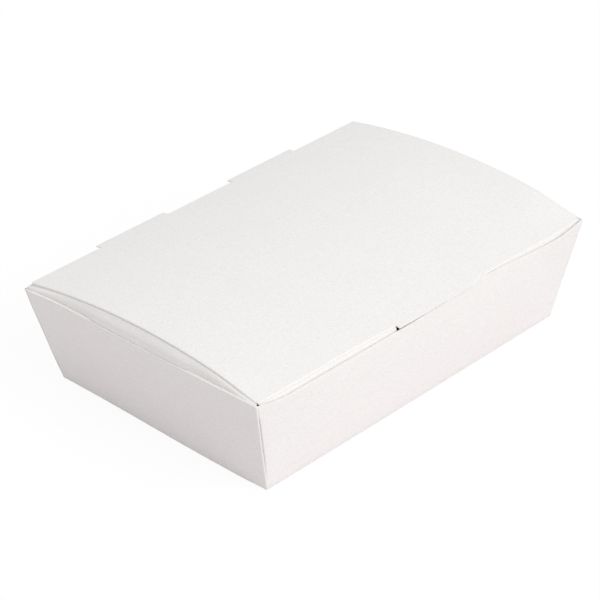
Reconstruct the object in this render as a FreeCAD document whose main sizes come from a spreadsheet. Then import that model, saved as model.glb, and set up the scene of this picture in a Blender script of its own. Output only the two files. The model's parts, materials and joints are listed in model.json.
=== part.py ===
import FreeCAD, Part
import math
import os
import Sketcher

# Takeout food box folded from one sheet of white board: a tray with leaning walls, and a lid that
# arches between two curved end creases and tucks in at the front. Millimetres.
# X runs along the long side, -Y is the front where the lid tucks in, and +Z is up.
# The origin is the middle of the tray's underside.

SIZES = {
    # The board, and how its folds round off.
    "board": 0.5,
    "fold_radius": 0.75,
    # The tray's base, outside.
    "base_length": 186.0,
    "base_width": 124.0,
    # Heights above the table: the hinge crease, and how far the other rims lie below it.
    "hinge_height": 50.0,
    "end_rim_drop": 1.5,
    "front_rim_drop": 3.5,
    "front_corner_drop": 0.6,
    "front_corner_run": 15.0,
    # How far the walls lean out, in degrees.
    "end_lean": 14.2,
    "side_lean": 7.5,
    # Corner webs: how far they reach along the end rim, and how far their folded stack springs open.
    "web_reach": 49.0,
    "web_spring": 0.8,
    "corner_slit_depth": 2.5,
    "corner_slit_foot": 6.0,
    # The lid's arch and its flaps.
    "lid_rise": 6.6,
    "end_flap_depth": 14.0,
    "end_flap_taper": 8.0,
    "tuck_depth": 16.0,
    "tuck_taper": 7.0,
    "tuck_corner": 6.0,
    # The two hinge tabs behind the crease: middle, length and reach.
    "hinge_tab_middle": 41.0,
    "hinge_tab_length": 41.0,
    "hinge_tab_reach": 3.5,
    # The thumb tab at the front, from its square left end to its slanted right end.
    "thumb_left": 20.5,
    "thumb_right": 36.0,
    "thumb_slant": 10.0,
    "thumb_reach": 3.2,
    # Clearances: between lid and walls, between the crease and the back rim, and past a cut.
    "slip": 0.3,
    "crease_gap": 0.5,
}

# Two lengths or volumes closer than this are the same.
NEAR = 0.001

# Planes of a body that a sketch can lie on. The first two letters name its own axes.
PLAN = "XY_Plane"
FRONT_VIEW = "XZ_Plane"
SIDE_VIEW = "YZ_Plane"
# A sketch's own origin, as a constraint names it: the horizontal axis and its first point.
ORIGIN = (-1, 1)

doc = FreeCAD.newDocument("takeout_food_box")
sheet = doc.addObject("Spreadsheet::Sheet", "size")
for row, (alias, value) in enumerate(SIZES.items(), start=1):
    sheet.set(f"A{row}", str(value))
    sheet.setAlias(f"A{row}", alias)
doc.recompute()

# Places worked out from the driving sizes, so that pieces which meet share one value.
places = doc.addObject("App::VarSet", "place")


def place(name, expression):
    """Add one worked-out length or angle, bound to the sheet, and give back its name in expressions."""
    places.addProperty("App::PropertyFloat", name)
    places.setExpression(name, expression)
    doc.recompute()
    return f"place.{name}"


def end_face(height, inset="0"):
    """Half length of the tray at a height, less an inset measured square to the leaning end wall."""
    return f"(size.base_length / 2 + ({height}) * tan(size.end_lean) - ({inset}) / cos(size.end_lean))"


def side_face(height, inset="0"):
    """Half width of the tray at a height, less an inset measured square to the leaning wall."""
    return f"(size.base_width / 2 + ({height}) * tan(size.side_lean) - ({inset}) / cos(size.side_lean))"


above = place("above", "size.hinge_height + 2 * size.lid_rise")
end_rim = place("end_rim", "size.hinge_height - size.end_rim_drop")
front_rim = place("front_rim", "size.hinge_height - size.front_rim_drop")
web_stack = place("web_stack", "3 * size.board + size.web_spring")
rim_x = place("rim_x", end_face(end_rim, web_stack))
lid_x = place("lid_x", f"{rim_x} - size.slip")
hinge_y = place("hinge_y", side_face("size.hinge_height", "size.board / 2"))

# The lid's middle layer is an arc from the hinge crease to the front fold, and both of its faces
# are half a board away from it. The fold is a smaller circle that the arc runs into.
fold_middle = place("fold_middle", "size.fold_radius - size.board / 2")
fold_y = place("fold_y", "-" + side_face(f"size.hinge_height - {fold_middle}",
                                         "size.board + size.slip + size.fold_radius"))
arch_y = place("arch_y", f"({hinge_y} + {fold_y}) / 2")
half_span = place("half_span", f"({hinge_y} - {fold_y}) / 2")
arch_radius = place("arch_radius", f"({half_span}^2 + size.lid_rise^2) / (2 * size.lid_rise)")
hinge_slope = place("hinge_slope", f"asin({half_span} / {arch_radius}) / 1 deg")
front_slope = place("front_slope", f"asin({half_span} / ({arch_radius} - {fold_middle})) / 1 deg")
arch_z = place("arch_z", f"size.hinge_height - {arch_radius} * cos({hinge_slope})")
fold_z = place("fold_z", f"{arch_z} + ({arch_radius} - {fold_middle}) * cos({front_slope})")


def at_hinge(offset, reach="0"):
    """Point of the arch at its back end, offset outwards from the middle layer and moved back."""
    radius = f"({arch_radius} + {offset})"
    return (f"{arch_y} + {radius} * sin({hinge_slope}) + ({reach}) * cos({hinge_slope})",
            f"{arch_z} + {radius} * cos({hinge_slope}) - ({reach}) * sin({hinge_slope})")


def at_front(offset, reach="0"):
    """Point of the arch where the front fold starts, offset outwards and moved on to the front."""
    radius = f"({arch_radius} + {offset})"
    return (f"{arch_y} - {radius} * sin({front_slope}) - ({reach}) * cos({front_slope})",
            f"{arch_z} + {radius} * cos({front_slope}) - ({reach}) * sin({front_slope})")


def on_tuck(radius, down="0"):
    """Point of the tuck flap's face at a radius from the fold's centre, some way down the flap."""
    return (f"{fold_y} - ({radius}) * cos(size.side_lean) + ({down}) * sin(size.side_lean)",
            f"{fold_z} - ({radius}) * sin(size.side_lean) - ({down}) * cos(size.side_lean)")


def number(expression):
    return float(sheet.evalExpression(expression))


def plane_of(body, role):
    return next(feature for feature in body.Origin.OriginFeatures if feature.Role == role)


def curved_edge(start, end, radius, bulge_left):
    """Arc between two corners, bulging to the left or the right of the way from start to end.

    It comes with the numbers of the arc's ends that lie on start and on end: the arc itself always
    runs counterclockwise.
    """
    chord = end - start
    to_middle = math.sqrt(max(radius**2 - (chord.Length / 2)**2, 0))
    left = FreeCAD.Vector(-chord.y, chord.x, 0).normalize()
    centre = start + chord / 2 + left * (-to_middle if bulge_left else to_middle)
    first, last = (end, start) if bulge_left else (start, end)
    first_angle = math.atan2(first.y - centre.y, first.x - centre.x)
    last_angle = math.atan2(last.y - centre.y, last.x - centre.x)
    if last_angle < first_angle:
        last_angle += 2 * math.pi
    circle = Part.Circle(centre, FreeCAD.Vector(0, 0, 1), radius)
    return Part.ArcOfCircle(circle, first_angle, last_angle), ((2, 1) if bulge_left else (1, 2))


def outline(body, name, plane, corners, arcs=None, lift=None):
    """Closed sketch with every corner bound to the sheet; arcs maps a corner to (radius, bulge_left)."""
    arcs = arcs or {}
    sketch = body.newObject("Sketcher::SketchObject", name)
    sketch.AttachmentSupport = [(plane_of(body, plane), "")]
    sketch.MapMode = "FlatFace"
    if lift:
        sketch.setExpression("AttachmentOffset.Base.z", lift)
    points = [FreeCAD.Vector(number(across), number(up), 0) for across, up in corners]
    ends = []
    for index, start in enumerate(points):
        end = points[(index + 1) % len(points)]
        if index in arcs:
            radius, bulge_left = arcs[index]
            edge, edge_ends = curved_edge(start, end, number(radius), bulge_left)
            sketch.addGeometry(edge)
            ends.append(edge_ends)
        else:
            sketch.addGeometry(Part.LineSegment(start, end))
            ends.append((1, 2))
    for index, (across, up) in enumerate(corners):
        before = index - 1 if index else len(corners) - 1
        here = (index, ends[index][0])
        sketch.addConstraint(Sketcher.Constraint("Coincident", before, ends[before][1], *here))
        for kind, value in (("DistanceX", across), ("DistanceY", up)):
            datum = sketch.addConstraint(Sketcher.Constraint(kind, *ORIGIN, *here, number(value)))
            sketch.setExpression(f"Constraints[{datum}]", value)
    for index, (radius, _) in arcs.items():
        datum = sketch.addConstraint(Sketcher.Constraint("Radius", index, number(radius)))
        sketch.setExpression(f"Constraints[{datum}]", radius)
    return sketch


def wedge(body, kind, name, heights, lengths, widths):
    """Block with level ends whose sides lean; lengths and widths give a (low, high) pair per height."""
    feature = body.newObject(f"PartDesign::{kind}Wedge", name)
    feature.Placement = FreeCAD.Placement(FreeCAD.Vector(), FreeCAD.Rotation(FreeCAD.Vector(1, 0, 0), 90))
    bounds = {
        "Ymin": heights[0],
        "Ymax": heights[1],
        "Xmin": lengths[0][0],
        "Xmax": lengths[0][1],
        "X2min": lengths[1][0],
        "X2max": lengths[1][1],
        "Zmin": f"-({widths[0][1]})",
        "Zmax": f"-({widths[0][0]})",
        "Z2min": f"-({widths[1][1]})",
        "Z2max": f"-({widths[1][0]})",
    }
    for bound, expression in bounds.items():
        feature.setExpression(bound, expression)
    doc.recompute()
    return feature


def both_sides(half):
    return (f"-({half})", half)


def from_side(side, inner, outer):
    """Range on the given side of the middle, in rising order."""
    return (inner, outer) if side > 0 else (f"-({outer})", f"-({inner})")


def cut(body, name, sketch, both_ways=False, against_normal=False):
    """Cut a sketch right through the body, and make sure that something came off."""
    before = body.Tip.Shape.Volume
    pocket = body.newObject("PartDesign::Pocket", name)
    pocket.Profile = sketch
    pocket.Type = "ThroughAll"
    pocket.SideType = "Symmetric" if both_ways else "One side"
    pocket.Reversed = not against_normal
    doc.recompute()
    if pocket.Shape.Volume > before - NEAR:
        raise RuntimeError(f"{name} cuts nothing")
    return pocket


def pad(body, name, sketch, length):
    """Pad a sketch by the same amount to both sides."""
    feature = body.newObject("PartDesign::Pad", name)
    feature.Profile = sketch
    feature.SideType = "Symmetric"
    feature.setExpression("Length", length)
    doc.recompute()
    return feature


def fillet(body, name, wanted, radius):
    """Round the edges of the body that the test picks."""
    base = body.Tip
    edges = [f"Edge{index}" for index, edge in enumerate(base.Shape.Edges, start=1) if wanted(edge)]
    feature = body.newObject("PartDesign::Fillet", name)
    feature.Base = (base, edges)
    feature.setExpression("Radius", radius)
    doc.recompute()
    return feature


# Tray: an outer block with rounded folds, hollowed in two steps so that the folded webs stay on the
# end walls. The first hollow lies between the webs' faces. The second one goes on to the end walls,
# between the two webs of each end, whose slanted folds start at the base's corners.
tray = doc.addObject("PartDesign::Body", "tray")
tray.Label = "tray"

wedge(tray, "Additive", "block", ("0", "size.hinge_height"),
      (both_sides("size.base_length / 2"), both_sides(end_face("size.hinge_height"))),
      (both_sides("size.base_width / 2"), both_sides(side_face("size.hinge_height"))))
fillet(tray, "outer_folds", lambda edge: min(vertex.Z for vertex in edge.Vertexes) < NEAR,
       "size.fold_radius")


def hollow(name, top, inset, web_share):
    """Hollow from the base's board up to a top; web_share is the webs' reach per height."""
    heights = ("size.board", top)
    lengths = [both_sides(end_face(height, inset)) for height in heights]
    widths = [both_sides(f"{side_face(height, 'size.board')} - ({height}) * {web_share}")
              for height in heights]
    wedge(tray, "Subtractive", name, heights, lengths, widths)


hollow("hollow", above, web_stack, "0")
hollow("hollow_between_webs", "size.hinge_height + size.board", "size.board", f"size.web_reach / {end_rim}")

# Each corner shows a slit that opens upwards, between the end wall's folded edge and the front or
# back wall, where the web turns in.
slit_heights = ("size.corner_slit_foot", "size.hinge_height + size.board")


def corner_slit(end, side):
    lengths = []
    widths = []
    for height in slit_heights:
        share = f"({height}) / size.hinge_height"
        outer = end_face(height, "2 * size.board")
        lengths.append(from_side(end, f"{outer} - size.web_spring * {share}", outer))
        face = side_face(height)
        widths.append(from_side(side, f"{face} - size.corner_slit_depth * {share}", f"{face} + size.board"))
    end_name = "right" if end > 0 else "left"
    side_name = "back" if side > 0 else "front"
    wedge(tray, "Subtractive", f"{side_name}_{end_name}_slit", slit_heights, lengths, widths)


for end in (-1, 1):
    for side in (-1, 1):
        corner_slit(end, side)


def mirrored_corners(right_half):
    """Corners of an outline that is the same on both sides, from its right half."""
    return right_half + [(f"-({across})", up) for across, up in reversed(right_half)]


beyond_x = f"({end_face(above)})"
end_outline = outline(tray, "end_outline", FRONT_VIEW, mirrored_corners([
    (rim_x, "size.hinge_height + size.board"), (rim_x, end_rim), (beyond_x, end_rim), (beyond_x, above)]))
cut(tray, "end_rims", end_outline, both_ways=True)

# The front wall's rim is low along the middle, and rises to its corners.
front_corner = "size.hinge_height - size.front_corner_drop"
front_outline = outline(tray, "front_outline", FRONT_VIEW, mirrored_corners([
    (f"{rim_x} - size.front_corner_run", front_rim), (rim_x, front_corner), (beyond_x, front_corner),
    (beyond_x, above)]))
cut(tray, "front_rim", front_outline)

# The back wall ends just below the hinge crease, and has an opening for each hinge tab to turn in.
back_rim = "size.hinge_height - size.crease_gap"
window_low = "size.hinge_height - size.hinge_tab_reach - size.slip"
window_in = "size.hinge_tab_middle - size.hinge_tab_length / 2 - size.slip"
window_out = "size.hinge_tab_middle + size.hinge_tab_length / 2 + size.slip"
back_outline = outline(tray, "back_outline", FRONT_VIEW, mirrored_corners([
    (window_in, back_rim), (window_in, window_low), (window_out, window_low), (window_out, back_rim),
    (beyond_x, back_rim), (beyond_x, above)]))
cut(tray, "back_rim", back_outline, against_normal=True)

# Lid panel: the arch, its front fold and the tuck flap are one section, the same all along the lid.
panel = doc.addObject("PartDesign::Body", "lid_panel")
half_board = "size.board / 2"
inner_fold = "size.fold_radius - size.board"
section = outline(panel, "section", SIDE_VIEW, [
    at_hinge(half_board), at_hinge("0", half_board), at_hinge(f"-{half_board}"),
    at_front(f"-{half_board}"), on_tuck(inner_fold), on_tuck(inner_fold, "size.tuck_depth"),
    on_tuck("size.fold_radius", "size.tuck_depth"), on_tuck("size.fold_radius"), at_front(half_board),
], arcs={
    0: (half_board, True), 1: (half_board, True), 2: (f"{arch_radius} - size.board / 2", False),
    3: (inner_fold, False), 7: ("size.fold_radius", True), 8: (f"{arch_radius} + size.board / 2", True),
})
pad(panel, "folded_panel", section, f"2 * {lid_x}")

# The tuck flap's ends are cut back on a slant, and its lower corners are round.
tuck_bottom = on_tuck("size.fold_radius", "size.tuck_depth")[1]
tuck_top_x = f"{lid_x} - size.board - size.slip"
tuck_ends = outline(panel, "tuck_ends", FRONT_VIEW, mirrored_corners([
    (f"{tuck_top_x} - size.tuck_taper", f"{tuck_bottom} - size.board"), (tuck_top_x, fold_z),
    (beyond_x, fold_z), (beyond_x, "size.board")]))
cut(panel, "tuck_ends_cut", tuck_ends)


def is_tuck_corner(edge):
    low = max(vertex.Z for vertex in edge.Vertexes) < number(f"{tuck_bottom} + size.board")
    short = edge.Length < number("2 * size.board")
    return low and short and abs(edge.CenterOfMass.x) > number(tuck_top_x) / 2


fillet(panel, "tuck_corners", is_tuck_corner, "size.tuck_corner")

# The thumb tab stays in line with the panel, and leaves its opening in the tuck flap.
thumb_low = f"{fold_z} - size.thumb_reach"
thumb_window = outline(panel, "thumb_window", FRONT_VIEW, [
    ("-size.thumb_left", thumb_low), ("size.thumb_right - size.thumb_slant", thumb_low),
    ("size.thumb_right", fold_z), ("-size.thumb_left", fold_z)])
cut(panel, "thumb_window_cut", thumb_window)


def tongue(name, root, end_out, middle, length):
    """Pad a short tongue of board that goes on in line with the arch, centred on a place along X."""
    sketch = outline(panel, f"{name}_section", SIDE_VIEW, root + end_out, lift=middle)
    pad(panel, name, sketch, length)


tongue("thumb_tab", [at_front(half_board), at_front(f"-{half_board}")],
       [at_front(f"-{half_board}", "size.thumb_reach"), at_front(half_board, "size.thumb_reach")],
       "(size.thumb_right - size.thumb_left) / 2", "size.thumb_right + size.thumb_left")
for name, middle in (("right_hinge_tab", "size.hinge_tab_middle"),
                     ("left_hinge_tab", "-size.hinge_tab_middle")):
    tongue(name, [at_hinge(half_board), at_hinge(f"-{half_board}")],
           [at_hinge(side, "size.hinge_tab_reach") for side in (f"-{half_board}", half_board)],
           middle, "size.hinge_tab_length")

thumb_root_y = at_front(half_board)[0]
thumb_tip_y = at_front(half_board, "size.thumb_reach + size.board")[0]
slant_run = "size.thumb_slant * (size.thumb_reach + size.board) / size.thumb_reach"
thumb_slant = outline(panel, "thumb_slant", PLAN, [
    ("size.thumb_right", thumb_root_y), ("size.thumb_right + size.board", thumb_root_y),
    ("size.thumb_right + size.board", thumb_tip_y), (f"size.thumb_right - {slant_run}", thumb_tip_y)])
cut(panel, "thumb_slant_cut", thumb_slant, both_ways=True)

# End flap: from the arched crease straight down to the rim, then in along the leaning end wall.
end_flap = doc.addObject("PartDesign::Body", "right_end_flap")
flap_low = f"{end_rim} - size.end_flap_depth"
flap_lean = "size.end_flap_depth * tan(size.end_lean)"
flap_board = "size.board / cos(size.end_lean)"
flap_section = outline(end_flap, "flap_section", FRONT_VIEW, [
    (lid_x, above), (lid_x, end_rim), (f"{lid_x} - {flap_lean}", flap_low),
    (f"{lid_x} - {flap_lean} - {flap_board}", flap_low), (f"{lid_x} - {flap_board}", end_rim),
    (f"{lid_x} - {flap_board}", above)])
pad(end_flap, "flap_band", flap_section, "size.base_width + 2 * size.hinge_height")

over_arch = outline(end_flap, "over_arch", SIDE_VIEW, [
    at_front("0"), at_hinge("0"), (at_hinge("0")[0], f"{above} + size.board"),
    (at_front("0")[0], f"{above} + size.board")], arcs={0: (arch_radius, True)})
cut(end_flap, "arch_cut", over_arch, both_ways=True)

flap_front = f"{fold_y} + size.board + size.slip"
flap_back = f"{hinge_y} - 2 * size.board - size.slip"
far_side = "size.base_width + size.hinge_height"
flap_ends = outline(end_flap, "flap_ends", SIDE_VIEW, [
    (flap_front, f"{above} + size.board"), (flap_front, end_rim),
    (f"{flap_front} + size.end_flap_taper", flap_low), (f"{flap_back} - size.end_flap_taper", flap_low),
    (flap_back, end_rim), (flap_back, f"{above} + size.board"),
    (far_side, f"{above} + size.board"), (far_side, f"{flap_low} - size.board"),
    (f"-({far_side})", f"{flap_low} - size.board"), (f"-({far_side})", f"{above} + size.board")])
cut(end_flap, "flap_ends_cut", flap_ends, both_ways=True)

mirrored_flap = doc.addObject("Part::Mirroring", "left_end_flap")
mirrored_flap.Source = end_flap
mirrored_flap.Normal = (1, 0, 0)

lid = doc.addObject("Part::MultiFuse", "lid")
lid.Label = "lid"
lid.Shapes = [panel, end_flap, mirrored_flap]
lid.Refine = True
doc.recompute()

PIECES = (tray, lid)
for made in doc.Objects:
    if {"Invalid", "Error"} & set(made.State):
        raise RuntimeError(f"{made.Name} failed: {made.State}")
os.makedirs("parts", exist_ok=True)
for piece in PIECES:
    shape = piece.Shape
    if shape.isNull() or not shape.isValid() or len(shape.Solids) != 1:
        raise RuntimeError(f"{piece.Label} is not one whole solid")
    shape.exportStep(f"parts/{piece.Label}.step")
    box = shape.BoundBox
    print(f"{piece.Label}: {box.XLength:.1f} x {box.YLength:.1f} x {box.ZLength:.1f} mm, "
          f"{shape.Volume / 1000:.2f} cm3")
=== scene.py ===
# %% [markdown]
# # A takeout food box in white board
#
# The real box is one sheet of white board, half a millimetre thick, folded into a tray with leaning
# walls and a lid that arches up and tucks in at the front. This lesson builds it the way the sheet
# is folded: only the middle layer of the board is modelled, as a mesh with every crease in it, and
# a modifier then gives it the board's thickness. The CAD frame gives the place and the hinge.

import math

import bmesh
import bpy
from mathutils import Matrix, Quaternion, Vector
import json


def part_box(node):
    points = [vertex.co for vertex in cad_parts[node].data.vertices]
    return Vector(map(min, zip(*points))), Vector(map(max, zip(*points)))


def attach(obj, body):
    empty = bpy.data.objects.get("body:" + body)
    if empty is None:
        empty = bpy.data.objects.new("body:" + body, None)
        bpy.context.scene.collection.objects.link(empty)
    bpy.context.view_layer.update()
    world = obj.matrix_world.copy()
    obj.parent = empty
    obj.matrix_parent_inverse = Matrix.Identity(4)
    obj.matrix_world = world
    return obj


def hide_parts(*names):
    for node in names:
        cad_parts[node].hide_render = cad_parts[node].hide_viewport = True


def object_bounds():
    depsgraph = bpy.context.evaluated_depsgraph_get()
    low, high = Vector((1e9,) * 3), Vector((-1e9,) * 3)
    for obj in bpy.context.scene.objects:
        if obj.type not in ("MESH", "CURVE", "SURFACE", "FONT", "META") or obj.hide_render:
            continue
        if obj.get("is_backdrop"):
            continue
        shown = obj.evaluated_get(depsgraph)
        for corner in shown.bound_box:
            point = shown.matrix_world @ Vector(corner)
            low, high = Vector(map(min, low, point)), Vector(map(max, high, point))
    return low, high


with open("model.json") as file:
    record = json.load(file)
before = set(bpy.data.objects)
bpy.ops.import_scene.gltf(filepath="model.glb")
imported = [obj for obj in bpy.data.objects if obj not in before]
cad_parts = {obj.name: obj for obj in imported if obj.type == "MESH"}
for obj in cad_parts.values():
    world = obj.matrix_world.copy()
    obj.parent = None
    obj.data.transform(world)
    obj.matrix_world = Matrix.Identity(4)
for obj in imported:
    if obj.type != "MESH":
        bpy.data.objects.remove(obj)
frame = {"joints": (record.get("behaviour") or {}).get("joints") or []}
cad_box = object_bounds()
hinge = frame["joints"][0]
print("CAD box", [tuple(corner) for corner in cad_box], "hinge", hinge["name"])

# %% [markdown]
# ## Sizes
#
# Board boxes are drawn in millimetres, so the sizes here are too, and each point is turned into
# metres when the mesh is made. The hinge is read from the frame, and so is the lid's half length,
# so that the dressed pieces lie where the CAD pieces are.

# %% Sizes of the box in millimetres
MM = 0.001
BOARD = 0.5
BASE_LENGTH = 186.0
BASE_WIDTH = 124.0
END_LEAN = math.radians(14.2)
SIDE_LEAN = math.radians(7.5)
HINGE_Y = hinge["pos_m"][1] / MM
HINGE_Z = hinge["pos_m"][2] / MM
LID_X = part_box("lid")[1].x / MM
LID_RISE = 6.6
FOLD = 0.5
SLIP = 0.3

END_RIM = 48.5
FRONT_RIM = 46.5
RIM_CLEAR = 0.02
BACK_RIM = HINGE_Z - BOARD / 2 - RIM_CLEAR

TAB_IN, TAB_OUT, TAB_REACH = 20.5, 61.5, 3.5
THUMB_LEFT, THUMB_RIGHT, THUMB_SLANT, THUMB_REACH = -20.5, 36.0, 10.0, 2.9
TUCK_DEPTH, TUCK_TAPER, TUCK_CORNER = 16.0, 7.0, 6.0
FLAP_DEPTH, FLAP_TAPER = 14.0, 8.0
WEB_REACH = 49.0
print(f"hinge at y {HINGE_Y:.2f}, z {HINGE_Z:.2f}; lid half length {LID_X:.2f}")


# %% [markdown]
# ## Smooth shapes from three small functions
#
# Board never bends in steps. `smooth` goes from 0 to 1 with no kink at either end. `ramp` is the same
# step laid along a wall: it starts at one place and is done a reach further on, and a negative reach
# turns it round. `swell` is a hump. Every bow and flare below is an amount times some of these.

# %% Smooth step, ramp and swell
def smooth(share):
    share = min(max(share, 0.0), 1.0)
    return share * share * (3 - 2 * share)


def ramp(at, start, reach):
    """0 before the start and 1 from a reach further on, in either direction."""
    return smooth((at - start) / reach)


def swell(at, middle, reach):
    """1 at the middle, falling smoothly to 0 at the reach on both sides."""
    return smooth(1 - abs(at - middle) / reach)


def between(low, high, share):
    return low + (high - low) * share


def evenly(low, high, count):
    """Places from low to high, both included."""
    return [between(low, high, index / count) for index in range(count + 1)]


print("half way:", smooth(0.5), swell(5, 0, 10))


# %% [markdown]
# ## The sheet
#
# A folded sheet is a grid of points: rows across its creases and columns along them. Patches that
# share an edge give the same points there, so welding them by distance makes one sheet. Cells can
# be left out, which is how a cut window is made. Each point also carries a crease value, which the
# material turns into lighter colour on folds, as wear and painted highlight, and into painted shade
# where it is below zero.

# %% Patches of a folded sheet
WELD = 1e-6


class Sheet:
    """The middle layer of a folded board, as one welded mesh."""

    def __init__(self):
        self.mesh = bmesh.new()
        self.crease = self.mesh.verts.layers.float.new("crease")

    def patch(self, rows, keep=None):
        """Add a grid of (x, y, z, crease) points; keep says which cells are there."""
        grid = []
        for row in rows:
            made = []
            for x, y, z, crease in row:
                vertex = self.mesh.verts.new((x * MM, y * MM, z * MM))
                vertex[self.crease] = crease
                made.append(vertex)
            grid.append(made)
        for i in range(len(grid) - 1):
            for j in range(len(grid[i]) - 1):
                if keep is None or keep(i, j):
                    near, far = grid[i], grid[i + 1]
                    self.mesh.faces.new((near[j], near[j + 1], far[j + 1], far[j]))

    def finish(self):
        """Weld the patches, and drop what has no area."""
        bmesh.ops.remove_doubles(self.mesh, verts=self.mesh.verts, dist=WELD)
        bmesh.ops.dissolve_degenerate(self.mesh, edges=self.mesh.edges, dist=WELD)
        loose = [vertex for vertex in self.mesh.verts if not vertex.link_faces]
        bmesh.ops.delete(self.mesh, geom=loose, context="VERTS")
        bmesh.ops.recalc_face_normals(self.mesh, faces=self.mesh.faces)
        return self.mesh


# %% [markdown]
# ## From middle layer to board
#
# Solidify grows the middle layer to both sides by half the board. The band of faces that it makes
# along every cut gets the second material, because a cut edge shows the board's bare fibres. A tiny
# bevel breaks the cut edges, and the folds stay smooth because only sharp angles are marked.

# %% Giving a sheet its thickness
CUT_EDGE_ANGLE = math.radians(70)
SHARP_ANGLE = math.radians(40)
EDGE_BREAK = 0.07


def board_piece(name, sheet, finishes):
    """Turn a sheet into a closed piece of board with its face and edge materials."""
    mesh = bpy.data.meshes.new(name)
    sheet.finish().to_mesh(mesh)
    sheet.mesh.free()
    piece = bpy.data.objects.new(name, mesh)
    bpy.context.scene.collection.objects.link(piece)
    for finish in finishes:
        mesh.materials.append(finish)

    thick = piece.modifiers.new("thickness", "SOLIDIFY")
    thick.thickness = BOARD * MM
    thick.offset = 0
    thick.material_offset_rim = 1
    broken = piece.modifiers.new("broken_edges", "BEVEL")
    broken.width = EDGE_BREAK * MM
    broken.segments = 2
    broken.limit_method = "ANGLE"
    broken.angle_limit = CUT_EDGE_ANGLE

    depsgraph = bpy.context.evaluated_depsgraph_get()
    final = bpy.data.meshes.new_from_object(piece.evaluated_get(depsgraph))
    piece.modifiers.clear()
    piece.data = final
    final.name = name
    final.shade_smooth()
    final.set_sharp_from_angle(angle=SHARP_ANGLE)
    triangles = sum(len(face.vertices) - 2 for face in final.polygons)
    print(f"{name}: {triangles} triangles")
    return piece


# %% [markdown]
# ## Shader maths
#
# Wrapping a socket in a small class lets a material be written as sums and products. Every operator
# adds the Math node that works it out, and the reflected forms make `1 - mask` work as well.

# %% A socket with arithmetic, and a material that makes nodes
class Value:
    """A number that changes over the surface."""

    def __init__(self, finish, socket):
        self.finish = finish
        self.socket = socket

    def maths(self, operation, first, second):
        return self.finish.add("ShaderNodeMath", {"operation": operation}, {0: first, 1: second})

    def __add__(self, other):
        return self.maths("ADD", self, other)

    __radd__ = __add__

    def __sub__(self, other):
        return self.maths("SUBTRACT", self, other)

    def __rsub__(self, other):
        return self.maths("SUBTRACT", other, self)

    def __mul__(self, other):
        return self.maths("MULTIPLY", self, other)

    __rmul__ = __mul__

    def __lt__(self, other):
        return self.maths("LESS_THAN", self, other)

    def at_least(self, other):
        return self.maths("MAXIMUM", self, other)


class Finish:
    """One material and the nodes in it."""

    def __init__(self, name):
        self.material = bpy.data.materials.new(name)
        self.material.use_nodes = True
        self.tree = self.material.node_tree
        self.tree.nodes.clear()

    def add(self, kind, settings=None, inputs=None, output=0):
        """Make a node: its settings first, then the values or links of its sockets."""
        node = self.tree.nodes.new(kind)
        for name, value in (settings or {}).items():
            setattr(node, name, value)
        for name, value in (inputs or {}).items():
            self.feed(node.inputs[name], value)
        return Value(self, node.outputs[output]) if node.outputs else node

    def feed(self, socket, value):
        if isinstance(value, Value):
            self.tree.links.new(value.socket, socket)
        else:
            socket.default_value = value

    def mix(self, share, first, second):
        """Mix two colours."""
        return self.add("ShaderNodeMix", {"data_type": "RGBA"},
                        {0: share, 6: first, 7: second}, output=2)


# %% [markdown]
# ## White board
#
# Coated board looks plain white, but it isn't flat: wide faint clouds where the coating is thicker,
# a fine grain, and fibres that run one way and catch the light. Where the crease value is above zero
# the board is a little lighter, partly as rubbed wear and partly as a painted highlight on the folds,
# and where it is below zero the colour is mixed towards grey, which is painted shade in grooves and
# under creases.
# A few specks of recycled fibre show. All of it stays within a few percent, as on the real one.

# %% The two finishes of the board
CLOUDS = 38.0
GRAIN = 1700.0
FIBRES = (500.0, 1700.0, 1700.0)
SPECKS = 55.0
SPECK_SIZE = 0.011
SPECK_SHARE = 0.35
SPECK = (0.42, 0.39, 0.36, 1.0)
# Grey that the colour is mixed towards as painted shade, in grooves and under creases.
PAINTED_SHADE_GREY = (0.30, 0.285, 0.27, 1.0)
PAINTED_SHADE_SHARE = 0.5
# The last one lightens creased board: partly rubbed wear, partly a painted highlight on the folds.
CLOUD_DULLS, GRAIN_DULLS, FIBRE_DULLS, RUB_AND_HIGHLIGHT_LIGHTENS = 0.3, 3.8, 1.2, 0.12
CLOUD_RISE, GRAIN_RISE, FIBRE_RISE = 0.3, 0.6, 0.8
RELIEF = 0.05
GRAIN_ROUGHENS = 0.12
SHEEN = 0.25
HALF = 0.5


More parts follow.
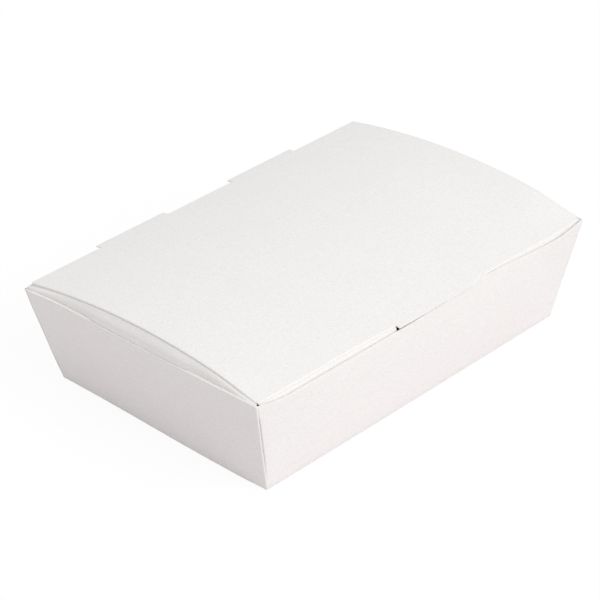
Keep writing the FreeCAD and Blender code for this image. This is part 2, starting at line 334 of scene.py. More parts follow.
def board_finish(name, pale, cloudy, fibre_bump, roughness):
    """Printed-side board: pale is its lightest colour and cloudy the faintly darker one."""
    finish = Finish(name)
    place = finish.add("ShaderNodeTexCoord", output="Object")
    clouds = finish.add("ShaderNodeTexNoise", {}, {"Vector": place, "Scale": CLOUDS, "Detail": 3.0})
    grain = finish.add("ShaderNodeTexNoise", {}, {"Vector": place, "Scale": GRAIN, "Detail": 4.0})
    along = finish.add("ShaderNodeMapping", {}, {"Vector": place, "Scale": FIBRES})
    fibres = finish.add("ShaderNodeTexNoise", {}, {"Vector": along, "Scale": 1.0, "Detail": 5.0})
    crease = finish.add("ShaderNodeAttribute", {"attribute_name": "crease"}, output="Fac")
    # Above zero the crease value lightens the colour: partly rubbed wear, partly a painted highlight.
    rubbed_and_painted_highlight = crease.at_least(0.0)
    painted_shade = (0.0 - crease).at_least(0.0)

    dullness = ((clouds - HALF) * CLOUD_DULLS + (grain - HALF) * GRAIN_DULLS
                + (fibres - HALF) * FIBRE_DULLS + HALF - rubbed_and_painted_highlight * RUB_AND_HIGHLIGHT_LIGHTENS)
    colour = finish.mix(dullness, pale, cloudy)
    # Painted shade: below zero the crease value darkens the colour towards grey.
    colour = finish.mix(painted_shade * PAINTED_SHADE_SHARE, colour, PAINTED_SHADE_GREY)
    cells = finish.add("ShaderNodeTexVoronoi", {"feature": "F1"}, {"Vector": place, "Scale": SPECKS})
    speck = (cells < SPECK_SIZE) * SPECK_SHARE
    colour = finish.mix(speck, colour, SPECK)

    relief = grain * GRAIN_RISE + fibres * FIBRE_RISE + clouds * CLOUD_RISE
    normal = finish.add("ShaderNodeBump", {}, {"Height": relief, "Strength": fibre_bump,
                                               "Distance": RELIEF * MM})
    shader = finish.add("ShaderNodeBsdfPrincipled", {}, {
        "Base Color": colour, "Roughness": roughness + grain * GRAIN_ROUGHENS, "Normal": normal,
        "Specular IOR Level": SHEEN})
    finish.add("ShaderNodeOutputMaterial", {}, {"Surface": shader})
    return finish.material


FACE = board_finish("white_board_face", pale=(0.90, 0.887, 0.871, 1.0),
                    cloudy=(0.82, 0.807, 0.791, 1.0), fibre_bump=0.25, roughness=0.5)
CUT = board_finish("white_board_cut_edge", pale=(0.88, 0.867, 0.85, 1.0),
                   cloudy=(0.80, 0.787, 0.771, 1.0), fibre_bump=0.6, roughness=0.68)
print("finishes:", FACE.name, CUT.name)


# %% [markdown]
# ## How the walls stand
#
# A wall's middle layer leaves the base in a small arc and then leans out in a straight line. Given
# a height, `middle` says how far out the layer is. The base edge is where the arc starts.

# %% Middle layer of a leaning wall
FOOT = BOARD / 2


def wall_start(lean, half):
    """Where the arc at a wall's foot starts, on the base's middle layer."""
    corner = half + FOOT * math.tan(lean) - BOARD / 2 / math.cos(lean)
    return corner - FOLD * math.tan((math.pi / 2 - lean) / 2)


def middle(lean, half, z):
    """How far out a wall's middle layer is at a height."""
    arc_top = FOOT + FOLD * (1 - math.sin(lean))
    if z < arc_top:
        fall = FOLD - (z - FOOT)
        return wall_start(lean, half) + math.sqrt(max(FOLD ** 2 - fall ** 2, 0.0))
    return half + z * math.tan(lean) - BOARD / 2 / math.cos(lean)


def end_middle(z):
    return middle(END_LEAN, BASE_LENGTH / 2, z)


def side_middle(z):
    return middle(SIDE_LEAN, BASE_WIDTH / 2, z)


print(f"walls at the hinge's height: {end_middle(HINGE_Z):.1f} and {side_middle(HINGE_Z):.1f}")


# %% [markdown]
# ## Rims that aren't quite straight
#
# Once the lid is tucked in, the front wall bows in towards it right of the thumb tab and away near
# the right corner, and its rim rises to both corners. The left end wall stands highest in front and
# flares out at the back, and the right one sinks in front. The feet of the two walls that face the
# camera bow out, and the back wall springs out at its left corner. These small shapes make the box
# look folded by hand and not drawn with a ruler. The amounts below are in millimetres, apart from
# the two powers and the two shares that are lost.

# %% Heights of the rims, and how the walls bow
FRONT_SAG = 0.3
LEFT_RISE, LEFT_RISE_POWER = 2.9, 1.6
RIGHT_RISE, RIGHT_RISE_POWER = 2.1, 1.2
UNDER_TAB_RISE = 0.55
BESIDE_TAB_RISE = 1.2
RIGHT_SAG = 0.7
RIGHT_END_SAG = 1.0
LEFT_END_RISE, LEFT_CORNER_SAG = 0.6, 0.4
LEFT_FRONT_RISE, LEFT_FRONT_MORE = 0.65, 0.45
END_FLARE = 1.2
FRONT_FLARE, FRONT_PINCH, FRONT_CORNER_FLARE = 0.4, 0.7, 0.6
FRONT_BOW = 1.2
BACK_SPRING, SPRING_LOST_AT_RIM = 1.1, 0.7
END_FOOT_BOW, BOW_LOST_AT_CORNER = 1.1, 0.5
FRONT_FOOT_BOW = 0.65
FOOT_BOW_TOP = 30.0
BOW_BLEND, BOW_BLEND_REACH = 4.0, 3.0


def front_rim(x):
    """Height of the front wall's rim, which rises to its corners and bows up beside the thumb tab."""
    left_share = max((-x - 86.0) / 17.0, 0.0)
    right_share = max((x - 88.0) / 14.0, 0.0)
    rise = LEFT_RISE * left_share ** LEFT_RISE_POWER + RIGHT_RISE * right_share ** RIGHT_RISE_POWER
    under_tab = UNDER_TAB_RISE * ramp(x, start=-15.0, reach=13.0)
    beside_tab = BESIDE_TAB_RISE * ramp(x, start=12.0, reach=24.0) * ramp(x, start=72.0, reach=-30.0)
    right_sag = RIGHT_SAG * ramp(x, start=62.0, reach=22.0)
    return FRONT_RIM - FRONT_SAG + rise + under_tab + beside_tab - right_sag


def end_rim(end, y):
    """Height of an end wall's rim: the left one rises to the front, the right one falls to it."""
    if end > 0:
        return END_RIM - RIGHT_END_SAG * ramp(y, start=-48.0, reach=-16.0)
    to_back = LEFT_END_RISE * ramp(y, start=5.0, reach=45.0)
    to_back -= LEFT_CORNER_SAG * ramp(y, start=50.0, reach=18.0)
    to_front = LEFT_FRONT_RISE * ramp(y, start=-2.0, reach=-35.0)
    more = LEFT_FRONT_MORE * ramp(y, start=-35.0, reach=-35.0)
    return END_RIM + to_back + to_front + more


def end_flare(y):
    """How far the left end wall's rim stands out, which it does at its back corner."""
    return END_FLARE * ramp(y, start=46.0, reach=22.0)


def front_flare(x):
    """How far the front wall's rim stands out: least beside the thumb tab, most near the right corner."""
    pinch = FRONT_PINCH * ramp(x, start=8.0, reach=24.0) * ramp(x, start=66.0, reach=-22.0)
    return FRONT_FLARE - pinch + FRONT_CORNER_FLARE * swell(x, middle=88.0, reach=20.0)


def bow_foot(x, y, z):
    """Bow the foot of the left end wall and of the front wall out, most near their shared corner."""
    low = 1 - smooth(z / FOOT_BOW_TOP)
    end_out = END_FOOT_BOW * ramp(y, start=45.0, reach=-75.0)
    end_out *= 1 - BOW_LOST_AT_CORNER * ramp(y, start=-46.0, reach=-16.0)
    front_out = FRONT_FOOT_BOW * ramp(x, start=110.0, reach=-160.0)
    at_end = smooth((BOW_BLEND - x - BASE_LENGTH / 2) / BOW_BLEND_REACH)
    at_front = smooth((BOW_BLEND - y - BASE_WIDTH / 2) / BOW_BLEND_REACH)
    return x - low * at_end * end_out, y - low * at_front * front_out


def flare(x, y, z):
    """Bow a point of the walls out or in, by nothing at the base and most at the rim."""
    x, y = bow_foot(x, y, z)
    height = (max(z, 0.0) / HINGE_Z) ** 2
    if x < -BASE_LENGTH / 2:
        x -= height * end_flare(y)
    if y < -BASE_WIDTH / 2:
        y -= height * front_flare(x)
        level = min(max(z / FRONT_RIM, 0.0), 1.0)
        y -= FRONT_BOW * ramp(abs(x), start=101.0, reach=-40.0) * 4 * level * (1 - level)
    if x < -BASE_LENGTH / 2 and y > BASE_WIDTH / 2:
        kept = 1 - SPRING_LOST_AT_RIM * ramp(z, start=38.0, reach=10.0)
        y += BACK_SPRING * ramp(z, start=0.0, reach=12.0) * kept
    return x, y, z


print(f"front rim at the middle {front_rim(0):.1f}, at its ends {front_rim(101):.1f}")


# %% [markdown]
# ## The tray's corners
#
# At each corner the board makes a web: a triangle that folds back behind the end wall and comes
# out again to the front or back wall. From outside this shows as a groove, closed at the base, wide
# by a third of the height and narrower again near the rim. A row of points at one height runs from
# the middle of an end wall round the outer fold, back along the web, round its slanted crease, and
# out again to the next wall. The back-left groove has painted shade in its colour, for the dark line
# that shows there.

# %% One corner of the tray, as a row of points at a height
END_STEPS = evenly(0.0, 1.0, 16)[:-1] + [0.99, 1.0]
SIDE_FIXED = [TAB_OUT + SLIP, 51.0, 41.0, 31.0, TAB_IN - SLIP, 10.0, 0.0]
TIGHT = BOARD * 0.52
WEB_FOOT = 5.0
OPENINGS = {(-1, -1): 1.5, (-1, 1): 1.0, (1, -1): 0.9, (1, 1): 1.0}
OPENS_BY, OPEN_POWER = 3, 0.6
CLOSED_AT_RIM = 0.55
# Painted shade on the back-left outer fold, standing for its dark shadow line.
GROOVE_SHADE = -1.1
WEB_CUT = 2.0
BACK_CORNER_SAG = 1.4
CORNER_RIM_LIMIT = 0.6
INNER_FOLD = 0.55
SIDE_CROWDING = 0.8

CORNER_COLUMNS = (
    [("end", share) for share in END_STEPS]
    + [("outer_fold", share) for share in evenly(0.0, 1.0, 8)[1:]]
    + [("web_out", share) for share in evenly(0.0, 1.0, 10)[1:]]
    + [("web_crease", share) for share in evenly(0.0, 1.0, 4)[1:]]
    + [("web_in", share) for share in evenly(0.0, 1.0, 10)[1:]]
    + [("inner_fold", share) for share in evenly(0.0, 1.0, 5)[1:]]
    + [("side_end", share) for share in evenly(0.0, 1.0, 12)[1:]]
    + [("side", x) for x in SIDE_FIXED[1:]]
)


def plan(part, share, z, opening):
    """Where a column of the corner is at a height, seen from above, in the first quadrant."""
    e, f = end_middle(z), side_middle(z)
    up = (z - FOOT) / (HINGE_Z - FOOT)
    grown = smooth((z - FOOT) / WEB_FOOT)
    outer = TIGHT * grown
    reach = max(WEB_REACH * up, outer)
    open_here = min(OPENS_BY * max(up, 0.0), 1.0) ** OPEN_POWER
    open_here *= 1 - CLOSED_AT_RIM * ramp(up, start=0.78, reach=0.2)
    inset = max(opening * open_here, 2 * outer * grown)
    inner = INNER_FOLD * grown
    turn = math.pi * share
    if part == "end":
        return e, share * (f - outer)
    if part == "outer_fold":
        return e - outer + outer * math.cos(turn), f - outer + outer * math.sin(turn)
    if part == "web_out":
        return e - 2 * outer, between(f - outer, f - reach, share)
    if part == "web_crease":
        return e - 2 * outer - outer + outer * math.cos(turn), f - reach - outer * math.sin(turn)
    if part == "web_in":
        return (between(e - 2 * outer - 2 * outer, e - inset, share),
                between(f - reach, f - inner, share))
    if part == "inner_fold":
        return (e - inset - inner + inner * math.cos(turn / 2),
                f - inner + inner * math.sin(turn / 2))
    if part == "side_end":
        return between(e - inset - inner, SIDE_FIXED[0], share ** SIDE_CROWDING), f
    return share, f


def crease_of(end, side, part, share):
    """A column's crease value: lighter above zero as wear and painted highlight, painted shade below
    zero.
    """
    # Painted shade on the back-left outer fold.
    if (end, side) == (-1, 1) and (part == "outer_fold" or (part, share) == ("end", 1.0)):
        return GROOVE_SHADE
    if part in ("outer_fold", "inner_fold"):
        return math.sin(math.pi * share)
    return 1.0 if part == "web_crease" else 0.0


print("columns round a corner:", len(CORNER_COLUMNS))

# %% [markdown]
# ## The tray as one sheet
#
# Four corners and a base make the tray. Rows rise through the arc at the foot and then in the same
# shares of each column's own height, so the rims may be uneven. The webs are cut lower than the end
# walls where they end. The back wall has two windows at its rim, where the lid's hinge tabs were
# cut from it.

# %% Building the tray's middle layer
FOOT_TURNS = (0, 25, 50, 75)
# Lightens the colour along the base's edge: partly rubbed wear, partly a painted highlight.
FOOT_CREASE = 0.6
WINDOW_LOW = HINGE_Z - TAB_REACH - SLIP
WINDOW_SHARE = WINDOW_LOW / BACK_RIM
WALL_SHARES = [0.06, 0.14, 0.26, 0.4, 0.55, 0.7, 0.82, WINDOW_SHARE, 0.965, 1.0]


def rim_height(end, side, part, x, y):
    """Height of the board's cut edge at a column, whichever wall or web the column is in."""
    if part in ("end", "outer_fold"):
        return end_rim(end, y)
    web_rim = end_rim(end, y) - WEB_CUT * ramp(abs(y), start=27.0, reach=-6.0)
    if part in ("web_out", "web_crease"):
        return web_rim
    wall_rim = front_rim(x)
    if side > 0:
        wall_rim = BACK_RIM - BACK_CORNER_SAG * ramp(abs(x), start=97.0, reach=6.0)
    if part == "web_in":
        near = ramp(abs(y), start=40.0, reach=25.0)
        return between(web_rim, min(wall_rim, END_RIM + CORNER_RIM_LIMIT), near)
    return wall_rim


def tray_rows(end, side):
    """Rows of one quarter of the tray's walls, from the base's edge up to the rim."""
    opening = OPENINGS[end, side]
    rows = []
    for turn in FOOT_TURNS:
        z = FOOT + FOLD * (1 - math.cos(math.radians(turn)))
        row = []
        for part, share in CORNER_COLUMNS:
            x, y = plan(part, share, z, opening)
            x, y = end * x, side * y
            if turn > 0:
                x, y = bow_foot(x, y, z)
            row.append((x, y, z, FOOT_CREASE))
        rows.append(row)
    low = rows[-1][0][2]
    for level in WALL_SHARES:
        row = []
        for part, share in CORNER_COLUMNS:
            x, y = plan(part, share, END_RIM, opening)
            z = between(low, rim_height(end, side, part, end * x, side * y), level)
            x, y = plan(part, share, z, opening)
            row.append((*flare(end * x, side * y, z), crease_of(end, side, part, share)))
        rows.append(row)
    return rows


def not_in_window(side):
    """Cells of the walls that are there, which leaves out the back wall's windows."""
    first_row = len(FOOT_TURNS) + WALL_SHARES.index(WINDOW_SHARE)
    first_column = CORNER_COLUMNS.index(("side", SIDE_FIXED[1])) - 1
    last_column = CORNER_COLUMNS.index(("side", TAB_IN - SLIP))

    def keep(row, column):
        return not (side > 0 and row >= first_row and first_column <= column < last_column)

    return keep


tray_sheet = Sheet()
for end in (-1, 1):
    for side in (-1, 1):
        tray_sheet.patch(tray_rows(end, side), not_in_window(side))

base_x = [wall_start(END_LEAN, BASE_LENGTH / 2)]
base_x += [plan(part, share, FOOT, 0.0)[0] for part, share in CORNER_COLUMNS if "side" in part]
base_y = [plan("end", share, FOOT, 0.0)[1] for share in END_STEPS]
for end in (-1, 1):
    for side in (-1, 1):
        tray_sheet.patch([[(end * x, side * y, FOOT, 0.0) for x in base_x] for y in base_y])

tray = board_piece("folded_tray", tray_sheet, (FACE, CUT))
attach(tray, "tray")
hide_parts("tray")

# %% [markdown]
# ## The lid's section
#
# The lid arches from the hinge to the front fold because its curved end creases hold it up. Seen
# from the end its middle layer is an arc of a large circle, then a small arc at the front fold, then
# the tuck flap, which rolls on over a few millimetres until it lies along the front wall. A crease is
# pressed into the board before folding, and the groove that the press leaves shows as a fine line
# just past the fold, which painted shade in the colour makes darker.

# %% The arch and the front fold
SCORE_DEPTH = 0.14
SCORE_AT = 0.45
SCORE_REACH = 0.45
# Painted shade that darkens the score groove to a fine grey line.
SCORE_SHADE = -0.32
CREASED_TO = math.radians(66)
ROLL_LENGTH = 4.0
FRONT_INWARD = 0.67

FOLD_Z = HINGE_Z - FOLD
FRONT_Y = -(side_middle(FOLD_Z) - BOARD - SLIP - FOLD) + FRONT_INWARD
ARCH_Y = (HINGE_Y + FRONT_Y) / 2
HALF_SPAN = (HINGE_Y - FRONT_Y) / 2
ARCH_RADIUS = (HALF_SPAN ** 2 + LID_RISE ** 2) / (2 * LID_RISE)
HINGE_SLOPE = math.asin(HALF_SPAN / ARCH_RADIUS)
FRONT_SLOPE = math.asin(HALF_SPAN / (ARCH_RADIUS - FOLD))
ARCH_Z = HINGE_Z - ARCH_RADIUS * math.cos(HINGE_SLOPE)
FRONT_Z = ARCH_Z + (ARCH_RADIUS - FOLD) * math.cos(FRONT_SLOPE)


def on_arch(turn):
    """Point of the arch at an angle from its crown, positive towards the hinge."""
    return ARCH_Y + ARCH_RADIUS * math.sin(turn), ARCH_Z + ARCH_RADIUS * math.cos(turn)


def arch_turn(y):
    return math.asin((y - ARCH_Y) / ARCH_RADIUS)


def on_fold(turn):
    """Point of the front fold at an angle from straight up, turning to the front and down."""
    return FRONT_Y - FOLD * math.sin(turn), FRONT_Z + FOLD * math.cos(turn)


def on_tuck(depth):
    """Point of the tuck flap at a depth below the fold: it rolls over until it lies along the wall."""
    y, z = on_fold(CREASED_TO)
    steps = 24
    turn = CREASED_TO
    for step in range(steps):
        turn = between(CREASED_TO, math.pi / 2 + SIDE_LEAN,
                       min(depth * (step + 0.5) / steps / ROLL_LENGTH, 1.0))
        y -= depth / steps * math.cos(turn)
        z -= depth / steps * math.sin(turn)
    groove = SCORE_DEPTH * swell(depth, SCORE_AT, SCORE_REACH)
    return y + groove * math.sin(turn), z - groove * math.cos(turn)


print(f"crown {ARCH_Z + ARCH_RADIUS:.2f}, fold centre {FRONT_Y:.2f}, {FRONT_Z:.2f}")


# %% [markdown]
# ## The lid's end flaps
#
# The end flaps hang from the arched creases. Under the crease the board is pinched in a little,
# and painted shade in its colour makes the thin dark line there. It then slopes out to the end wall,
# which makes the light band, and falls more steeply just above the rim, where a faint line of
# painted shade runs at the turn. Below the rim it follows the wall in the middle, and towards the
# corners it goes in behind the web. A flap is wider than its crease, so that its ends reach into the
# corners. The lid has slipped to the right at its front, and the flaps with it.

# %% The end flaps as a curve down from the crease
EDGE_FOLD = 0.32
FLAP_MIDDLE = LID_X - BOARD / 2
PINCH_DEPTH = 0.35
PINCH_AT = 0.45
PINCH_REACH = 0.45
# Painted shade for the dark line under the crease, where the pinch lies in shadow.
PINCH_SHADE = -1.0
FLAP_SLIP = 0.06
LEDGE_SHARE = 0.55
LEDGE_OUT = 0.85
# Painted shade for the soft dark line where the flap starts to fall more steeply.
LEDGE_SHADE = -0.10
BELOW_RIM, LEAST_FALL, PINCH_FALL = 0.2, 0.9, 2.0
FLAP_FRONT = FRONT_Y + 0.3
FLAP_BACK = HINGE_Y - 0.8
FLAP_WIDER = {(-1, -1): 1.7, (-1, 1): 1.3, (1, -1): 1.7, (1, 1): 0.3}
WIDE_AT_PINCH = 0.6
FLAP_CREASE_TURNS = (30, 60, 90)
FLAP_DROPS = [0.15, 0.3, 0.45, 0.6, 0.75, 0.9, 1.2]
FLAP_SHARES = [0.1, 0.2, 0.3, 0.4, 0.48, LEDGE_SHARE, 0.7, 0.85, 1.0]
FLAP_LEVELS = [0.5, 1.0, 1.5, 2.0, 5.0, 9.0, FLAP_DEPTH]
SLIPPED_LEFT = 0.2
SLIPPED_RIGHT = 2.1
CORNER_PULL = 0.8


def skewed(x, y):
    """Where a place of the lid lies once its front has slipped to the right."""
    share = (HINGE_Y - y) / (HINGE_Y - FRONT_Y)
    at_corner = CORNER_PULL * ramp(y, start=-48.0, reach=-18.0) * max(x / LID_X, 0.0)
    return x + at_corner + share * between(SLIPPED_LEFT, SLIPPED_RIGHT, (x + LID_X) / (2 * LID_X))


def flap_contact(end, y, z, depth=0.0):
    """Where an end flap's middle layer lies against the inside of the end wall or its webs."""
    side = 1 if y > 0 else -1
    at_web, _ = plan("web_in", 0.0, z, OPENINGS[end, side])
    at_corner, _ = plan("web_in", 1.0, z, OPENINGS[end, side])
    web_start = side_middle(z) - WEB_REACH
    along = (abs(y) - web_start) / WEB_REACH
    at_web = between(at_web, at_corner, min(max(along, 0.0), 1.0))
    over_top = ramp(abs(y), start=27.0, reach=4.0)
    over_below = ramp(abs(y), start=11.0, reach=6.0)
    layer = between(end_middle(z), at_web, between(over_top, over_below, smooth(depth / WEB_CUT)))
    if end < 0:
        layer += (z / HINGE_Z) ** 2 * end_flare(y)
    return layer - BOARD - FLAP_SLIP


def flap_points(end, y_top, z_top):
    """Middle layer of an end flap below one place of the arch: x, y, z and crease, going down."""
    points = []
    start = z_top - EDGE_FOLD
    contact_z = min(end_rim(end, y_top) - BELOW_RIM, start - LEAST_FALL)
    fall = start - contact_z
    top = end * skewed(end * FLAP_MIDDLE, y_top)
    out = flap_contact(end, y_top, contact_z) - top
    squeeze = min(1.0, fall / PINCH_FALL)
    last = FLAP_DROPS[-1] * squeeze
    for turn in FLAP_CREASE_TURNS:
        angle = math.radians(turn)
        points.append((top - EDGE_FOLD * (1 - math.sin(angle)), y_top,
                       z_top - EDGE_FOLD * (1 - math.cos(angle)), 1.0))

    def outward(down):
        """How far the flap has come out to the wall at a drop below the crease."""
        share = down / fall
        if share < LEDGE_SHARE:
            return out * LEDGE_OUT * smooth(share / LEDGE_SHARE)
        return out * between(LEDGE_OUT, 1.0, (share - LEDGE_SHARE) / (1 - LEDGE_SHARE))

    centre = (FLAP_FRONT + FLAP_BACK) / 2
    half = (FLAP_BACK - FLAP_FRONT) / 2
    towards = (y_top - centre) / half
    widened = y_top + towards * abs(towards) ** 3 * FLAP_WIDER[end, 1 if y_top > centre else -1]
    for drop in FLAP_DROPS:
        down = drop * squeeze
        pinch = swell(drop, PINCH_AT, PINCH_REACH)
        points.append((top - PINCH_DEPTH * pinch + outward(down),
                       between(y_top, widened, WIDE_AT_PINCH * smooth(down / last)),
                       start - down, PINCH_SHADE * pinch))
    for share in FLAP_SHARES:
        down = between(last, fall, share)
        shade = LEDGE_SHADE if share == LEDGE_SHARE else 0.0
        wide = between(WIDE_AT_PINCH, 1.0, smooth(share))
        points.append((top + outward(down), between(y_top, widened, wide), start - down, shade))
    for depth in FLAP_LEVELS:
        z = contact_z - depth
        points.append((flap_contact(end, widened, z, depth),
                       widened - towards * FLAP_TAPER * depth / FLAP_DEPTH, z, 0.0))
    return points


print("points down an end flap:", len(flap_points(-1, 0.0, HINGE_Z + LID_RISE)))

# %% [markdown]
# ## The lid as one sheet
#
# The lid's grid has columns across the box and rows from the hinge over the arch and down the tuck
# flap. Its front lies a little lower than a drawn one, most of all at the right. The thumb tab is
# cut from the tuck flap and stays in line with the panel, so its patch starts from the same row of
# points as the fold, and the cells that it was cut from are left out. The board just right of the
# tab is pulled out of the fold, which is why no opening shows there.

# %% Building the lid's middle layer
SLANT_END = 45.0
THUMB_PULL = 8.0
TUCK_BACK = 0.8
FOLD_ARC = FOLD * (CREASED_TO - FRONT_SLOPE)
PULL_ENDS = 1.2
PULL_FADES = 1.2
PANEL_X = [0.0, 10.0, TAB_IN, 28.0, THUMB_RIGHT, 38.0, 41.0, SLANT_END, 53.0, TAB_OUT,
           70.0, 78.0, 86.0, 92.0, 97.0, 100.0, FLAP_MIDDLE - EDGE_FOLD]
COLUMNS = [-x for x in reversed(PANEL_X[1:])] + PANEL_X
ARCH_YS = [HINGE_Y, FLAP_BACK] + evenly(FLAP_BACK, FLAP_FRONT, 26)[1:-1] + [FLAP_FRONT]
FOLD_TURNS = evenly(FRONT_SLOPE, CREASED_TO, 6)
TUCK_LEVELS = [0.15, 0.3, 0.45, 0.6, 0.75, 0.95, 1.6, 2.2, THUMB_REACH,
               4.2, 6.0, 9.0, 11.0, 13.0, 14.5, 15.5, TUCK_DEPTH]
DROP, DROP_AT_TAB, DROP_AT_RIGHT, CORNER_LIFT = 1.0, 0.6, 0.8, 0.35
SCORE_FADE = 0.8


def settle(x, y):
    """How much lower the lid's front lies than a drawn one, less so at its left."""
    drop = DROP + DROP_AT_TAB * ramp(x, start=-55.0, reach=30.0)
    drop += DROP_AT_RIGHT * ramp(x, start=40.0, reach=35.0)
    drop -= CORNER_LIFT * ramp(x, start=94.0, reach=8.0)
    inside = ramp(y, start=20.0, reach=-87.0)
    outside = ramp(y, start=-40.0, reach=-27.0)
    return -drop * between(inside, outside, ramp(abs(x), start=75.0, reach=25.0))


def thumb_edge(depth):
    """The slanted right end of the thumb tab, at a depth from the fold."""
    return THUMB_RIGHT - THUMB_SLANT * min(depth / THUMB_REACH, 1.0)


def tab_edge(step):
    """The same end, at a step out along the tab: the board beside it has the fold's arc as well."""
    return thumb_edge(max(step - FOLD_ARC, 0.0))


def tuck_x(x, depth):
    """Where a column of the lid is on the tuck flap: its ends are cut back, its corners are round."""
    share = depth / TUCK_DEPTH
    half = LID_X - BOARD / 2 - 1.5 * BOARD * ramp(depth, start=1.4, reach=1.5) - TUCK_TAPER * share
    low = max(depth - (TUCK_DEPTH - TUCK_CORNER), 0.0)
    half -= TUCK_CORNER - math.sqrt(max(TUCK_CORNER ** 2 - low ** 2, 0.0))
    if x > 0:
        half -= (SLIPPED_RIGHT + CORNER_PULL) * ramp(depth, start=0.8, reach=1.4)
    edge = thumb_edge(depth)
    if abs(x) > TAB_OUT:
        return math.copysign(between(TAB_OUT, half, (abs(x) - TAB_OUT) / (PANEL_X[-1] - TAB_OUT)), x)
    if THUMB_RIGHT < x < SLANT_END:
        return between(edge, SLANT_END, (x - THUMB_RIGHT) / (SLANT_END - THUMB_RIGHT))
    if THUMB_LEFT <= x <= THUMB_RIGHT:
        return between(THUMB_LEFT, edge, (x - THUMB_LEFT) / (THUMB_RIGHT - THUMB_LEFT))
    return x


def pulled(x, depth, arc, y, z):
    """Board right of the thumb tab is pulled out of the fold, towards the tab's own line."""
    share = smooth(1 - (x - thumb_edge(depth)) / THUMB_PULL)
    share *= 1 - ramp(depth, start=PULL_ENDS, reach=PULL_FADES)
    if x < thumb_edge(depth) - WELD or abs(x) > TAB_OUT:
        share = 0.0
    first_y, first_z = on_fold(FRONT_SLOPE)
    step = depth + arc
    return (between(y, first_y - step * math.cos(FRONT_SLOPE), share),
            between(z, first_z - step * math.sin(FRONT_SLOPE), share))


def beside_tab(x, depth):
    """How far the tuck flap stays behind the front wall where that bows in, right of the tab."""
    along = ramp(x, start=8.0, reach=24.0) * ramp(x, start=68.0, reach=-22.0)
    return TUCK_BACK * along * ramp(depth, start=1.6, reach=2.4)


def panel_row(y, z, crease=0.0):
    return [(skewed(x, y), y, z + settle(x, y), crease) for x in COLUMNS]


def fold_x(x):
    """The front fold runs on past the end flaps to the lid's full length."""
    return math.copysign(LID_X - BOARD / 2, x) if abs(x) == PANEL_X[-1] else x


lid_sheet = Sheet()
arch_rows = []
for y in ARCH_YS:
    arch_rows.append(panel_row(*on_arch(arch_turn(y)), crease=1.0 if y == HINGE_Y else 0.0))
front_rows = []
for turn in FOLD_TURNS:
    row = []
    for x in COLUMNS:
        y, z = pulled(x, 0.0, FOLD * (turn - FRONT_SLOPE), *on_fold(turn))
        row.append((skewed(fold_x(x), y), y, z + settle(x, FRONT_Y), 1.0))
    front_rows.append(row)
tuck_rows = []
for depth in TUCK_LEVELS:
    row = []
    for x in COLUMNS:
        moved = tuck_x(x, depth)
        y, z = pulled(moved, depth, FOLD_ARC, *on_tuck(depth))
        y += beside_tab(moved, depth)
        # Painted shade along the score groove, faded right of the thumb tab.
        shade = SCORE_SHADE * swell(depth, SCORE_AT, SCORE_REACH)
        shade *= 1 - SCORE_FADE * ramp(x, start=36.0, reach=20.0)
        row.append((skewed(moved, y), y, z + settle(x, FRONT_Y), shade))
    tuck_rows.append(row)

panel_rows = arch_rows + front_rows[:1]
below_rows = front_rows + tuck_rows
thumb_first = COLUMNS.index(THUMB_LEFT)
thumb_last = COLUMNS.index(THUMB_RIGHT)
window_rows = len(FOLD_TURNS) + TUCK_LEVELS.index(THUMB_REACH)
lid_sheet.patch(panel_rows)
lid_sheet.patch(below_rows, lambda i, j: not (i < window_rows and thumb_first <= j < thumb_last))

# %% [markdown]
# ## Tabs and flaps of the lid
#
# The hinge tabs go on behind the hinge in line with the arch, and the thumb tab goes on in front in
# line with it too. The end flaps are the same curve at every row of the arch, on both ends.

# %% Tabs and end flaps
TAB_STEPS = [0.0, FOLD_ARC, 1.2, 2.4]
TAB_CREASE = 0.4


def tongue(columns, y, z, slope, way, reach, right_end):
    """Patch that goes on from the panel's edge in a straight line: way is -1 to the front."""
    rows = []
    for step in TAB_STEPS + [reach]:
        row = []
        first, last = columns[0], columns[-1]
        for x in columns:
            moved = between(first, right_end(step), (x - first) / (last - first))
            there = y + way * step * math.cos(slope)
            height = z - step * math.sin(slope) + settle(x, y)
            row.append((skewed(moved, y), there, height, TAB_CREASE if step == 0 else 0.0))
        rows.append(row)
    return rows


for first, last in ((-TAB_OUT, -TAB_IN), (TAB_IN, TAB_OUT)):
    columns = COLUMNS[COLUMNS.index(first):COLUMNS.index(last) + 1]
    lid_sheet.patch(tongue(columns, HINGE_Y, HINGE_Z, HINGE_SLOPE, 1, TAB_REACH, lambda step: last))

front_y, front_z = on_fold(FRONT_SLOPE)
lid_sheet.patch(tongue(COLUMNS[thumb_first:thumb_last + 1], front_y, front_z, FRONT_SLOPE, -1,
                       THUMB_REACH, tab_edge))

for end in (-1, 1):
    rows = []
    for y in ARCH_YS[1:]:
        _, z = on_arch(arch_turn(y))
        edge = [(skewed(end * PANEL_X[-1], y), y, z + settle(end * PANEL_X[-1], y), 0.0)]
        down = flap_points(end, y, edge[0][2])
        rows.append(edge + [(end * x, py, pz, crease) for x, py, pz, crease in down])
    lid_sheet.patch(rows)

lid = board_piece("folded_lid", lid_sheet, (FACE, CUT))
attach(lid, "lid")
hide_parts("lid")

# %% [markdown]
# ## Floor, light and camera
#
# The picture shows the box on plain white. The floor here is white to the camera for the most part,
# and keeps a soft shadow. What it sends back to the box is faintly warm, which is why the walls are
# warmer than the lid. The sky is even, and one wide soft lamp stands to the front and right.

# %% The floor
FLOOR_HALF = 3.0
FLOOR_DROP = 0.00005
FLOOR_BOUNCE = (0.795, 0.75, 0.765, 1.0)
FLOOR_WHITE = (1.0, 1.0, 1.0, 1.0)
FLOOR_GLOW = 0.9

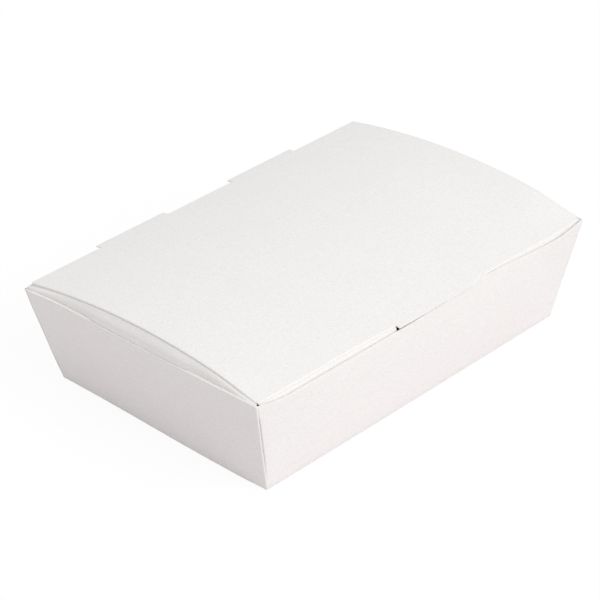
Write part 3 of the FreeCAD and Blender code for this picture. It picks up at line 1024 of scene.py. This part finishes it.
floor_mesh = bpy.data.meshes.new("floor")
corners = [(-FLOOR_HALF, -FLOOR_HALF, -FLOOR_DROP), (FLOOR_HALF, -FLOOR_HALF, -FLOOR_DROP),
           (FLOOR_HALF, FLOOR_HALF, -FLOOR_DROP), (-FLOOR_HALF, FLOOR_HALF, -FLOOR_DROP)]
floor_mesh.from_pydata(corners, [], [(0, 1, 2, 3)])
floor = bpy.data.objects.new("floor", floor_mesh)
bpy.context.scene.collection.objects.link(floor)
floor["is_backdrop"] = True

ground = Finish("pale_floor")
seen, glossy, through = [ground.add("ShaderNodeLightPath", output=f"Is {ray} Ray")
                         for ray in ("Camera", "Glossy", "Transmission")]
watched = seen + glossy + through
bounce = ground.add("ShaderNodeBsdfDiffuse", {}, {
    "Color": ground.mix(watched, FLOOR_BOUNCE, FLOOR_WHITE)})
white = ground.add("ShaderNodeEmission", {}, {"Color": FLOOR_WHITE, "Strength": 1.0})
shown = ground.add("ShaderNodeMixShader", {}, {0: watched * FLOOR_GLOW, 1: bounce, 2: white})
ground.add("ShaderNodeOutputMaterial", {}, {"Surface": shown})
floor_mesh.materials.append(ground.material)
print("floor:", ground.material.name)

# %% Sky and lamp
SKY = 0.75
LAMP = 1.26
LAMP_WIDTH = math.radians(35)
LAMP_FROM = Vector((0.04, -0.31, 0.262))

world = bpy.data.worlds.new("studio")
bpy.context.scene.world = world
world.use_nodes = True
sky = world.node_tree.nodes["Background"]
sky.inputs["Color"].default_value = (1.0, 1.0, 1.0, 1.0)
sky.inputs["Strength"].default_value = SKY

lamp_data = bpy.data.lights.new("soft_lamp", "SUN")
lamp_data.energy = LAMP
lamp_data.angle = LAMP_WIDTH
lamp = bpy.data.objects.new("soft_lamp", lamp_data)
lamp.rotation_mode = "QUATERNION"
lamp.rotation_quaternion = LAMP_FROM.to_track_quat("Z", "Y")
bpy.context.scene.collection.objects.link(lamp)
print("lamp from", tuple(round(part, 2) for part in LAMP_FROM.normalized()))

# %% [markdown]
# ## The camera
#
# The picture was taken from far away with a long lens, from the front left and a good way up. The
# angles, the distance and the lens were worked out from the box's corners in the picture.

# %% Camera at the picture's angle
AZIMUTH = math.radians(-46.55)
ELEVATION = math.radians(31.33)
ROLL = math.radians(-0.20)
DISTANCE = 1.171
TARGET = Vector((-0.0042, 0.0028, 0.025))
LENS = 158.8

camera_data = bpy.data.cameras.new("camera")
camera_data.lens = LENS
camera_data.sensor_width = 36.0
camera = bpy.data.objects.new("camera", camera_data)
bpy.context.scene.collection.objects.link(camera)
back = Vector((math.sin(AZIMUTH) * math.cos(ELEVATION),
               -math.cos(AZIMUTH) * math.cos(ELEVATION), math.sin(ELEVATION)))
camera.location = TARGET + back * DISTANCE
camera.rotation_mode = "QUATERNION"
camera.rotation_quaternion = Quaternion(back, ROLL) @ (-back).to_track_quat("-Z", "Y")
bpy.context.scene.camera = camera
bpy.context.scene.view_settings.view_transform = "Standard"
print("camera at", tuple(round(place, 3) for place in camera.location))

# %% [markdown]
#
# The dressed box must stay as large as the CAD box. The sizes of both are printed.

# %% Sizes of both models
import json

seen_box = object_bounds()
for name, box in (("CAD", cad_box), ("dressed", seen_box)):
    print(name, [round((high - low) / MM, 1) for low, high in zip(*box)])
